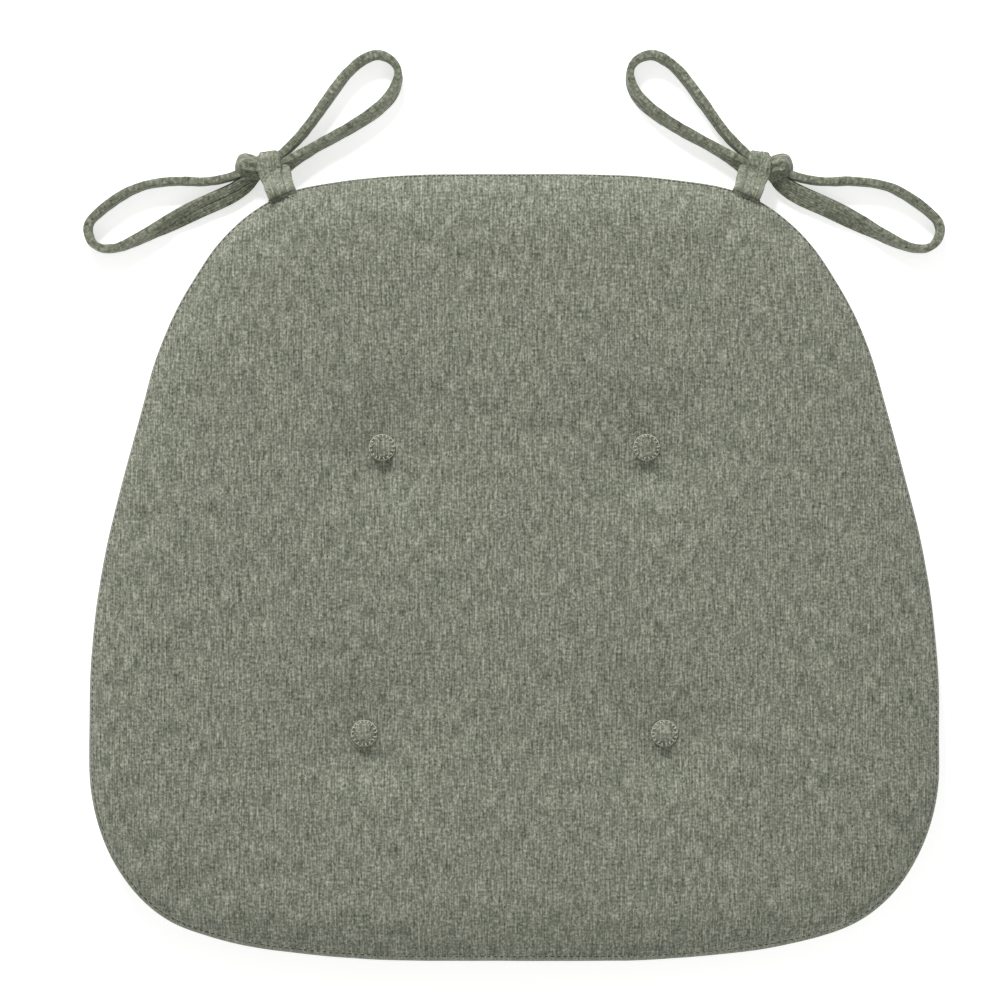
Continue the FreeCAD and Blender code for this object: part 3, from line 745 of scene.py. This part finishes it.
def side_rings(profile, columns):
    """Rings of points round the side, one for each place on the profile."""
    edge, normals, distance = outline_at(np.arange(columns) / columns)
    rings = []
    for inset, height in profile:
        ring = []
        for point, normal, along in zip(edge, normals, distance):
            ripple = RIPPLE * noise.noise(Vector((along * 40, height * 0.04, 0)))
            spot = point - normal * (inset + ripple + seam_lean(normal[1], height)) * MM
            ring.append((spot[0], spot[1], height * MM))
        rings.append(ring)
    return rings


def stuffed_cover():
    """The whole cover as one closed mesh, and how many columns of faces go round its side."""
    places, grid_faces, outer = panel_grid()
    columns = len(outer)
    vertices = [(x, y, top_height(x, y)) for x, y in places]
    faces = list(grid_faces)
    ring = outer
    for points in side_rings(SHOULDER + BAND + UNDERSIDE, columns):
        below = range(len(vertices), len(vertices) + columns)
        vertices += points
        faces += ring_faces(ring, below)
        ring = below
    start = len(vertices)
    vertices += [(x, y, bottom_height(x, y)) for x, y in places]
    faces += [tuple(start + index for index in reversed(face)) for face in grid_faces]
    faces += ring_faces(ring, [start + index for index in outer])
    return new_piece("stuffed_cover", vertices, faces, cover_cloth), columns


SIMULATION_FRAMES = 14
SWELL_LIMIT = 3.0 * MM
HELD_BELOW = 5.5 * MM               # the cover is held underneath up to this height,
HELD_AT_SEAM = 0.6 * MM             # and within this height of its top seam


def inflate(piece, pinned):
    """Swells the cover by cloth simulation, held at its seams, at its tufts and underneath. No point moves
    further than the limit, and each approaches it softly."""
    start = vertex_array(piece)
    group = piece.vertex_groups.new(name="held")
    group.add([int(i) for i in np.nonzero(pinned)[0]], 1.0, "REPLACE")
    modifier = piece.modifiers.new("cloth", "CLOTH")
    settings = modifier.settings
    settings.quality = 4
    settings.mass = 0.3
    settings.tension_stiffness = 18
    settings.compression_stiffness = 12
    settings.shear_stiffness = 8
    settings.bending_stiffness = 1.5
    settings.vertex_group_mass = "held"
    settings.use_pressure = True
    settings.uniform_pressure_force = 3.5
    settings.effector_weights.gravity = 0
    modifier.collision_settings.use_collision = False
    modifier.collision_settings.use_self_collision = False
    scene = bpy.context.scene
    modifier.point_cache.frame_start = 1
    modifier.point_cache.frame_end = SIMULATION_FRAMES
    for step in range(1, SIMULATION_FRAMES + 1):
        scene.frame_set(step)
    evaluated = piece.evaluated_get(bpy.context.evaluated_depsgraph_get())
    swollen = np.empty(start.size)
    evaluated.data.vertices.foreach_get("co", swollen)
    piece.modifiers.clear()
    scene.frame_set(1)
    move = swollen.reshape(-1, 3) - start
    length = np.linalg.norm(move, axis=1, keepdims=True) + 1e-12    # a point that stays isn't divided by 0
    capped = start + move / length * SWELL_LIMIT * np.tanh(length / SWELL_LIMIT)
    capped[pinned] = start[pinned]
    move_vertices(piece, capped)


def held_points(piece):
    """Which points the simulation leaves in place."""
    places = vertex_array(piece)
    held = places[:, 2] < HELD_BELOW
    held |= np.abs(places[:, 2] - TOP_SEAM_Z) < HELD_AT_SEAM
    for place in tuft_places.values():
        far = np.hypot(places[:, 0] - place.x, places[:, 1] - place.y)
        held |= (far < TUFT_BED_RADIUS) & (places[:, 2] > PAD_TOP / 2)
    return held


CLOTH_THICKNESS = 1.2 * MM
WADDING_GAP, WADDING_THICKNESS = 0.5 * MM, 2.6 * MM
JOIN_SHARE = 0.625                  # where round the band its two ends meet: at the middle of the back


def cut_out(piece, name, keep, material):
    """A new piece made of the faces whose numbers keep accepts."""
    chosen = [tuple(p.vertices) for p in piece.data.polygons if keep(p.index)]
    used = sorted({index for face in chosen for index in face})
    renumbered = {old: new for new, old in enumerate(used)}
    faces = [tuple(renumbered[index] for index in face) for face in chosen]
    return new_piece(name, vertex_array(piece)[used], faces, material)


def band_strip(whole, columns):
    """The side band as one strip whose two ends meet, so that its weave runs round without a jump. It
    begins at the shoulder's last ring and ends at the underside's first."""
    rows = len(BAND) + 2
    first = (2 * GRID + 1) ** 2 + (len(SHOULDER) - 1) * columns
    order = (np.arange(columns + 1) + round(JOIN_SHARE * columns)) % columns
    places = vertex_array(whole)
    strip = np.concatenate([places[first + row * columns + order] for row in range(rows)])
    width = columns + 1
    faces = [
        (row * width + k, (row + 1) * width + k, (row + 1) * width + k + 1, row * width + k + 1)
        for row in range(rows - 1)
        for k in range(columns)
    ]
    band = new_piece("cover_band", strip, faces, band_cloth)
    middle = strip.reshape(rows, width, 3)[rows // 2]
    walked = np.concatenate([[0], np.cumsum(np.linalg.norm(np.diff(middle, axis=0), axis=1))])
    set_weave(band, np.stack([np.tile(walked, rows), strip[:, 2], np.zeros(len(strip))], axis=1))
    return band


def build_cover():
    """Swells the whole cover, cuts it into its panels along its seams and lines it with wadding."""
    whole, columns = stuffed_cover()
    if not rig.quick():
        inflate(whole, held_points(whole))
    top_end = (2 * GRID) ** 2 + columns * len(SHOULDER)
    band_end = top_end + columns * (1 + len(BAND))

    top = cut_out(whole, "cover_top", lambda index: index < top_end, cover_cloth)
    band = band_strip(whole, columns)
    bottom = cut_out(whole, "cover_bottom", lambda index: index >= band_end, cover_cloth)

    apply_modifier(top, "SUBSURF", levels=1)
    press_dents(top)
    for panel in (top, bottom):
        apply_modifier(panel, "SOLIDIFY", thickness=CLOTH_THICKNESS, offset=-1.0)
        places = vertex_array(panel)
        places[:, 2] = 0
        set_weave(panel, places)
    apply_modifier(band, "SOLIDIFY", thickness=CLOTH_THICKNESS, offset=-1.0)

    wadding = cut_out(whole, "wadding_fill", lambda index: True, white_wadding)
    press_dents(wadding)
    normals = np.empty(len(wadding.data.vertices) * 3)
    wadding.data.vertices.foreach_get("normal", normals)
    inward = vertex_array(wadding) - normals.reshape(-1, 3) * (CLOTH_THICKNESS + WADDING_GAP)
    move_vertices(wadding, inward)
    apply_modifier(wadding, "SOLIDIFY", thickness=WADDING_THICKNESS, offset=-1.0)
    bpy.data.objects.remove(whole)
    for panel, node, slot in (
        (top, "top_panel", "cover_fabric"),
        (band, "side_band", "cover_fabric"),
        (bottom, "bottom_panel", "cover_fabric"),
        (wadding, "wadding_layer", "wadding"),
    ):
        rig.ride(panel, "pad")
        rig.replaces(panel, node)
        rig.slot(panel, slot)
        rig.padded(panel, fill=0.75)


build_cover()

# ---------------------------------------------------------------- tufts

# A button's section, from its middle out to its rim, which is rolled under: shares of radius and height.
DISC_SHAPE = (
    (0.0, 1.0), (0.28, 0.985), (0.5, 0.94), (0.68, 0.87), (0.82, 0.76),
    (0.92, 0.62), (0.985, 0.42), (1.0, 0.25), (0.96, 0.08), (0.85, 0.0),
)
DISC_SIDES = 48
WHIP_COUNT = 17
WHIP_RADIUS, LINK_RADIUS = 0.42 * MM, 0.30 * MM
LINK_STEPS = 4 * WHIP_COUNT
# The waxed twine's cross on an anchor: mm from its middle, and mm below its face.
CROSS_STITCH = ((-2.2, -0.35), (-1.2, -0.1), (0, 0.02), (1.2, -0.1), (2.2, -0.35))
CROSS_TURN, CROSS_RADIUS = 0.6, 0.45 * MM


def paint(node, material):
    """Gives a part of the frame that is shown as it is the looks of its material."""
    materials = frame["nodes"][node].data.materials
    materials.clear()
    materials.append(material)


def stuffed_disc(name, place, radius, foot, rise):
    """A stuffed disc in the cover's cloth, with small creases. Where its rise is below 0 it faces down."""
    profile = [(radius * across, foot + rise * up) for across, up in DISC_SHAPE]
    vertices = [Vector((place.x, place.y, profile[0][1]))]
    for reach, height in profile[1:]:
        for k in range(DISC_SIDES):
            angle = 2 * math.pi * k / DISC_SIDES
            crease = 1 + 0.012 * math.sin(17 * angle)
            crease += 0.01 * noise.noise(Vector((angle * 2, reach * 900, 0)))
            out = Vector((math.cos(angle), math.sin(angle), 0)) * reach * crease
            vertices.append(Vector((place.x + out.x, place.y + out.y, height)))
    rings = [range(1 + ring * DISC_SIDES, 1 + (ring + 1) * DISC_SIDES) for ring in range(len(profile) - 1)]
    faces = [(0, 1 + k, 1 + (k + 1) % DISC_SIDES) for k in range(DISC_SIDES)]
    for inner, outer in zip(rings, rings[1:]):
        faces += ring_faces(inner, outer)
    faces.append(tuple(rings[-1]))
    disc = face_outwards(new_piece(name, vertices, faces, cover_cloth))
    set_weave(disc, vertex_array(disc))
    return disc


def build_whipping(name, place, radius, foot, rise):
    """The whip stitches over a button's rim, and the thread that links them."""
    lines = []
    for i in range(WHIP_COUNT):
        angle = 2 * math.pi * (i + 0.3 * random.random()) / WHIP_COUNT
        out = Vector((math.cos(angle), math.sin(angle), 0))
        lean = Vector((-out.y, out.x, 0)) * 0.35 * MM
        inner = radius * (0.80 + 0.05 * random.random())
        lines.append([
            place + out * inner + UP * (foot + rise * 0.76),
            place + out * radius * 0.90 + lean * 0.4 + UP * (foot + rise * 0.78),
            place + out * radius + lean * 0.7 + UP * (foot + rise * 0.56),
            place + out * (radius + 0.30 * MM) + lean + UP * (foot + rise * 0.25),
            place + out * (radius + 0.45 * MM) + lean * 1.2 + UP * (foot + 0.05 * MM),
        ])
    linking = []
    for i in range(LINK_STEPS + 1):
        angle = 2 * math.pi * i / LINK_STEPS
        reach = radius + 0.30 * MM + 0.15 * MM * math.sin(WHIP_COUNT * angle)
        out = Vector((math.cos(angle), math.sin(angle), 0))
        linking.append(place + out * reach + UP * (foot + rise * 0.36))
    stitches = thread_piece("whip_stitching_" + name, lines, WHIP_RADIUS, pale_thread)
    link = thread_piece("whip_link_" + name, [linking], LINK_RADIUS, pale_thread)
    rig.ride(link, "pad")
    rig.slot(link, "whip_thread")
    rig.ride(stitches, "pad")
    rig.replaces(stitches, "whip_stitches_" + name)
    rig.slot(stitches, "whip_thread")


def build_button(name, place):
    low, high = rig.box("tuft_button_" + name)
    radius, rise = (high.x - low.x) / 2, high.z - low.z
    button = stuffed_disc("tuft_" + name, place, radius, low.z, rise)
    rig.ride(button, "pad")
    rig.replaces(button, "tuft_button_" + name)
    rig.slot(button, "cover_fabric")
    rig.padded(button, fill=0.9)
    build_whipping(name, place, radius, low.z, rise)


def build_anchor(name, place):
    """The flat button under the pad that holds the tufting twine, with the twine's cross on its face."""
    low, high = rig.box("twine_anchor_" + name)
    anchor = stuffed_disc("anchor_" + name, place, (high.x - low.x) / 2, high.z, low.z - high.z)
    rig.ride(anchor, "pad")
    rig.replaces(anchor, "twine_anchor_" + name)
    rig.slot(anchor, "anchor_felt")
    cross = []
    for turn in (CROSS_TURN, CROSS_TURN + math.pi / 2):
        ahead = Vector((math.cos(turn), math.sin(turn), 0))
        cross.append([place + ahead * x * MM + UP * (low.z - z * MM) for x, z in CROSS_STITCH])
    knot = thread_piece("anchor_stitch_" + name, cross, CROSS_RADIUS, waxed_twine)
    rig.ride(knot, "pad")
    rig.slot(knot, "twine")
    paint("tufting_twine_" + name, waxed_twine)


random.seed(7)
for tuft_name, tuft_spot in tuft_places.items():
    build_button(tuft_name, tuft_spot)
    build_anchor(tuft_name, tuft_spot)
paint("foam_core", cream_foam)

# ---------------------------------------------------------------- seams

SEAM_PITCH, SEAM_STITCH, SEAM_RADIUS = 3.2 * MM, 2.0 * MM, 0.26 * MM
SEAM_PROUD, SEAM_SUNK = 0.12 * MM, 0.25 * MM    # a stitch's middle stands out of the seam, its ends go in


def seam_stitches(name, inset, height):
    """A row of stitches lying in a seam, all round the pad."""
    girth = outline_at(np.array([1.0]))[2][0]
    count = int(girth / SEAM_PITCH)
    edge, normals, _ = outline_at(np.arange(2 * count) / (2 * count))
    lines = []
    for i in range(count):
        here, there = Vector((*edge[2 * i], 0)), Vector((*edge[2 * i + 1], 0))
        out = Vector((*normals[2 * i], 0))
        half = (there - here).normalized() * SEAM_STITCH / 2
        lean = seam_lean(out.y, height / MM) * MM
        middle = here - out * (inset + lean) + UP * height
        lines.append([
            middle - half - out * SEAM_SUNK,
            middle - half * 0.5 + out * SEAM_PROUD,
            middle + half * 0.5 + out * SEAM_PROUD,
            middle + half - out * SEAM_SUNK,
        ])
    piece = thread_piece(name, lines, SEAM_RADIUS, seam_thread)
    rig.ride(piece, "pad")
    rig.slot(piece, "whip_thread")


seam_stitches("top_seam_stitching", 1.75 * MM, TOP_SEAM_Z)
seam_stitches("bottom_seam_stitching", 1.85 * MM, BOTTOM_SEAM_Z)

# ---------------------------------------------------------------- ties

STRAP_WIDTH, STRAP_THICKNESS = 10.0, 3.8        # in mm, as the tack's and the route's measures are
STRAP_LIFT = 0.15 * MM              # no part of a strap is nearer to the floor than this
EDGE_ROUND, EDGE_STEPS = 0.14, 12   # the share of half the width that an edge's curve takes, and its points
# The tack's dark stitches lie across the strap's root. Besides closing the seam, they are painted shade for the shadow
# in the seam's gap there.
TACK_COUNT, TACK_PITCH, TACK_LENGTH = 6, 2.3, 1.9
TACK_START, TACK_OUT, TACK_HEIGHT = -4.3, -19.8, 34.5
TACK_SHAPE = ((0, -0.5), (0.25, 0), (0.75, 0), (1, -0.5))   # shares of a stitch's length, and mm upwards
TACK_RADIUS = 0.4 * MM
KNOT_FROM_HINGE = (1.0, 15.8)       # along the seam back to the hinge's middle, and out to the knot
ROUTE_STEPS = 10                    # how many steps the smooth curve takes from one row to the next
EDGE, ALONG = (0, 0, 1), (1, 0, 0)  # the width points up, or along the seam
# The strap's route from its front end in the seam to its rear end. Millimetres along the
# seam and out from it, counted from the middle of the knot, and up from the floor; then which way the
# strap's width points, and what share of its full width shows there.
ROUTE = [
    # up out of the seam, over the knot and under it
    (1.1, -23.0, 25.0, ALONG, 1.0),
    (1.1, -20.6, 29.4, ALONG, 1.0),
    (1.1, -18.4, 33.0, ALONG, 1.0),
    (1.1, -16.0, 31.2, ALONG, 1.0),
    (1.2, -13.4, 26.5, ALONG, 1.05),
    (1.4, -9.5, 18.5, ALONG, 1.05),
    (1.6, -5.5, 13.8, ALONG, 1.2),
    (2.8, -0.8, 13.8, (1, -0.2, 0.1), 1.25),
    (4.4, 3.6, 12.4, (1, -0.3, 0.1), 1.15),
    (4.8, 5.6, 7.2, (1, -0.3, 0), 0.9),
    (4.0, 3.8, 2.6, ALONG, 1.0),
    (-2.5, 3.4, 3.4, (0.5, 0.5, 0.5), 0.8),
    # the outer loop
    (-8.5, 3.4, 3.8, EDGE, 0.7),
    (-15.0, 2.6, 4.4, EDGE, 0.85),
    (-29.5, 5.4, 5.0, EDGE, 1.0),
    (-44.5, 13.4, 5.0, EDGE, 1.0),
    (-63.5, 18.9, 5.0, EDGE, 1.0),
    (-83.0, 15.9, 5.0, EDGE, 1.0),
    (-96.0, 11.2, 5.0, EDGE, 1.0),
    (-96.6, -0.9, 5.0, EDGE, 1.0),
    (-86.0, -6.7, 5.0, EDGE, 1.0),
    (-66.0, -5.8, 4.6, (0, 0.35, 1), 1.0),
    (-41.0, -4.3, 3.6, (0, 1, 0.5), 1.0),
    (-22.0, -4.7, 3.2, (0, 1, 0.3), 1.0),
    (-13.0, -3.4, 4.0, (0, 1, 0.5), 0.9),
    (-6.5, -1.0, 5.6, (0, 0.5, 1), 0.75),
    # through the knot into the inner loop
    (3.0, 0.6, 6.2, EDGE, 0.7),
    (10.0, 2.6, 5.4, EDGE, 0.8),
    (25.0, 7.8, 5.0, (0, 0.12, 1), 0.95),
    (44.5, 19.4, 5.0, (0, 0.14, 1), 1.0),
    (62.0, 29.2, 5.0, (0, 0.08, 1), 1.0),
    (77.5, 30.7, 5.0, EDGE, 1.0),
    (84.6, 19.5, 5.0, EDGE, 1.0),
    (78.0, 9.0, 5.0, (0, 0.25, 1), 1.0),
    (66.0, 3.4, 5.0, (0, 0.3, 1), 1.0),
    (47.0, 0.6, 5.0, (0, 0.16, 1), 1.0),
    (28.0, -0.6, 5.2, (0, 0.14, 1), 1.0),
    (14.5, -2.4, 6.8, (0, 0.3, 1), 1.05),
    (8.6, -3.8, 7.4, (0, 0.6, 1), 1.0),
    # back through the knot, a small turn beyond it that leans in over its middle, and the rear leg
    (-2.4, -1.2, 7.6, (0, 0.4, 1), 0.75),
    (-8.4, 0.4, 8.6, (0.15, 0.7, 0.8), 0.85),
    (-11.0, 4.4, 8.9, (0.7, 0, 0.8), 0.85),
    (-8.2, 8.2, 8.9, (-0.1, -0.7, 0.8), 0.85),
    (-4.8, 5.6, 8.5, (-0.6, -0.3, 0.8), 0.8),
    (1.5, -1.4, 7.2, (0.3, 0.3, 0.8), 0.8),
    (9.8, -6.2, 7.8, (0.2, 0.5, 0.8), 0.95),
    (8.6, -10.0, 13.0, (0.1, 0.5, 0.8), 0.7),
    (8.3, -13.6, 21.0, (0.1, 0.5, 0.8), 0.6),
    (8.2, -16.6, 27.8, (0.1, 0.4, 1), 0.5),
    (8.2, -19.0, 30.2, (0.1, 0.2, 1), 0.45),
    (8.2, -21.5, 28.8, (0.1, 0.2, 1), 0.45),
    (8.2, -23.5, 26.0, (0.1, 0.1, 1), 0.42),
]


def tie_frame(side):
    """From a tie's own millimetres, counted from the middle of its knot, to metres in the row frame."""
    joint = next(j for j in frame["joints"] if j["name"] == side + "_tie_swing")
    hinge, axis = Vector(joint["pos_m"]), Vector(joint["axis"]).normalized()
    mirrored = -1 if side == "right" else 1
    along = axis * mirrored
    out = UP.cross(axis)
    origin = hinge - along * KNOT_FROM_HINGE[0] * MM + out * KNOT_FROM_HINGE[1] * MM
    origin.z = 0

    def place(point):
        return origin + (along * point[0] + out * point[1] + UP * point[2]) * MM

    def turn(vector):
        return along * vector[0] + out * vector[1] + UP * vector[2]

    return place, turn


def smooth_line(points):
    """Points along the smooth curve that the route's points control."""
    data = bpy.data.curves.new("route", "CURVE")
    data.dimensions = "3D"
    spline = data.splines.new("NURBS")
    spline.points.add(len(points) - 1)
    for point, place in zip(spline.points, points):
        point.co = (*place, 1)
    spline.order_u = 3
    spline.use_endpoint_u = True
    spline.resolution_u = ROUTE_STEPS
    holder = bpy.data.objects.new("route", data)
    bpy.context.scene.collection.objects.link(holder)
    mesh = bpy.data.meshes.new_from_object(holder.evaluated_get(bpy.context.evaluated_depsgraph_get()))
    line = [v.co.copy() for v in mesh.vertices]
    bpy.data.objects.remove(holder)
    bpy.data.curves.remove(data)
    bpy.data.meshes.remove(mesh)
    return line


def rounded_edge(middle, first):
    """Half a circle round a place on the strap's width. It starts at the first angle, in half turns."""
    angles = [math.pi * (first + k / (EDGE_STEPS - 1)) for k in range(EDGE_STEPS)]
    return [(middle + EDGE_ROUND * math.cos(angle), math.sin(angle)) for angle in angles]


def strap_section():
    """The strap's section in shares of its half width and half thickness: soft rounded edges, faces that
    bulge a little, and a groove on the upper face where its folded cloth is sewn."""
    return (
        rounded_edge(1 - EDGE_ROUND, -0.5)
        + [(x, 1.0) for x in (0.6, 0.36, 0.2, 0.08)]
        + [(0.0, 0.72)]
        + [(x, 1.0) for x in (-0.08, -0.2, -0.36, -0.6)]
        + rounded_edge(EDGE_ROUND - 1, 0.5)
        + [(x, -1.04) for x in (-0.5, -0.2, 0.2, 0.5)]
    )


def strap_width_at(share, turn):
    """Which way the strap's width points at a share of its line, and what share of the width shows. The
    line's first and last points belong half way between two rows of the route."""
    at = share * (len(ROUTE) - 2) + 0.5
    row, part = int(at), at - int(at)
    before, after = ROUTE[row], ROUTE[row + 1]
    wide = turn(Vector(before[3])).lerp(turn(Vector(after[3])), part)
    return wide, before[4] + (after[4] - before[4]) * part


def build_strap(side):
    place, turn = tie_frame(side)
    line = smooth_line([place(row[:3]) for row in ROUTE])
    last = len(line) - 1
    section = strap_section()
    vertices, weave = [], []
    walked = 0.0
    for i, point in enumerate(line):
        ahead = (line[min(i + 1, last)] - line[max(i - 1, 0)]).normalized()
        walked += (point - line[i - 1]).length if i else 0.0
        wide, share = strap_width_at(i / last, turn)
        wide = (wide - ahead * wide.dot(ahead)).normalized()
        thick = ahead.cross(wide)
        sway = noise.noise(Vector((walked * 60, 3.1, 0)))
        swell = noise.noise(Vector((walked * 90, 7.7, 0)))
        gathered = 1 - min(share, 1.0)
        half_width = STRAP_WIDTH / 2 * share * (1 + 0.04 * sway) * MM
        half_thick = STRAP_THICKNESS / 2 * (1 + 0.10 * swell) * (1 + 0.25 * gathered) * MM
        for x, z in section:
            crumple = 0.22 * MM * noise.noise(Vector((walked * 220, x * 1.3, z * 1.3)))
            spot = point + wide * (x * half_width) + thick * (z * half_thick + crumple * z)
            spot.z = max(spot.z, STRAP_LIFT)
            vertices.append(spot)
            weave.append((x * STRAP_WIDTH / 2 * MM, walked, z * STRAP_THICKNESS / 2 * MM))
    faces = tube_faces(len(line), len(section))
    strap = face_outwards(new_piece(side + "_strap", vertices, faces, tie_cloth))
    set_weave(strap, weave)
    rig.blend(strap, "pad", side + "_tie", start=place((0, -19.4, 28)), end=place((0, -11.5, 28)))
    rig.replaces(strap, *(f"{side}_tie_{part}" for part in
                         ("front_leg", "rear_leg", "knot", "outer_loop", "inner_loop", "seam_tab")))
    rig.slot(strap, "tie_fabric")
    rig.cord(strap, exit=place((1.1, -19.0, 32.0)), length=0.515, diameter=0.010, far_end="object",
            stiffness="limp", lay="loose", path=line)


def build_tack_and_shade_line(side):
    """The dark stitches that close the seam over the strap where it comes out. Their dark line across the strap's root
    is also painted shade: it stands in for the shadow in the seam's gap there.
    """
    place, _ = tie_frame(side)
    lines = []
    for i in range(TACK_COUNT):
        start = TACK_START + i * TACK_PITCH
        lines.append([
            place((start + along * TACK_LENGTH, TACK_OUT, TACK_HEIGHT + up)) for along, up in TACK_SHAPE
        ])
    tack = thread_piece(side + "_tack_stitching_and_painted_shade", lines, TACK_RADIUS, seam_thread)
    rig.ride(tack, "pad")
    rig.slot(tack, "whip_thread")


for tie_side in ("left", "right"):
    build_strap(tie_side)
    build_tack_and_shade_line(tie_side)

visual_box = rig.bounds()
with open("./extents.json", "w") as size_file:
    json.dump({"cad": [list(corner) for corner in cad_box], "visual": [list(corner) for corner in visual_box]},
              size_file)
